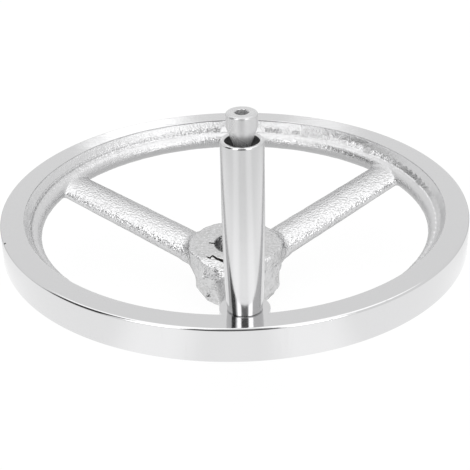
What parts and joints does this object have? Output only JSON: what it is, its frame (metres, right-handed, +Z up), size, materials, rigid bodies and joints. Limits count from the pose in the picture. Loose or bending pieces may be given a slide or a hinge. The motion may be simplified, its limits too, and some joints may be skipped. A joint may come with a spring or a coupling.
{
  "type": "machine handwheel",
  "caption": "Dished machine handwheel: flat polished rim on oval cast spokes, low hub with a plain bore, and a turning handle sleeve, drawn in at its base, held by a shoulder screw.",
  "frame": {"origin": "centre of the hub's lower face, on the bore's axis", "axes": "+Z up the bore's axis towards the handle's end, -Y from the bore's axis to the handle, +X to the right seen from the handle's side"},
  "size_m": [0.2, 0.2, 0.122],
  "materials": {
    "wheel_chrome": "chromed: polished rim and hub face, rough cast skin elsewhere",
    "sleeve_chrome": "polished",
    "screw_chrome": "polished"
  },
  "bodies": {
    "wheel": {"wheel": "wheel_chrome", "handle_pin": "screw_chrome"},
    "handle": {"handle_sleeve": "sleeve_chrome"}
  },
  "joints": [
    {"name": "sleeve_spin", "type": "hinge", "parent": "wheel", "child": "handle", "pos_m": [0, -0.0857, 0.044], "axis": [0, 0, 1], "continuous": true}
  ]
}
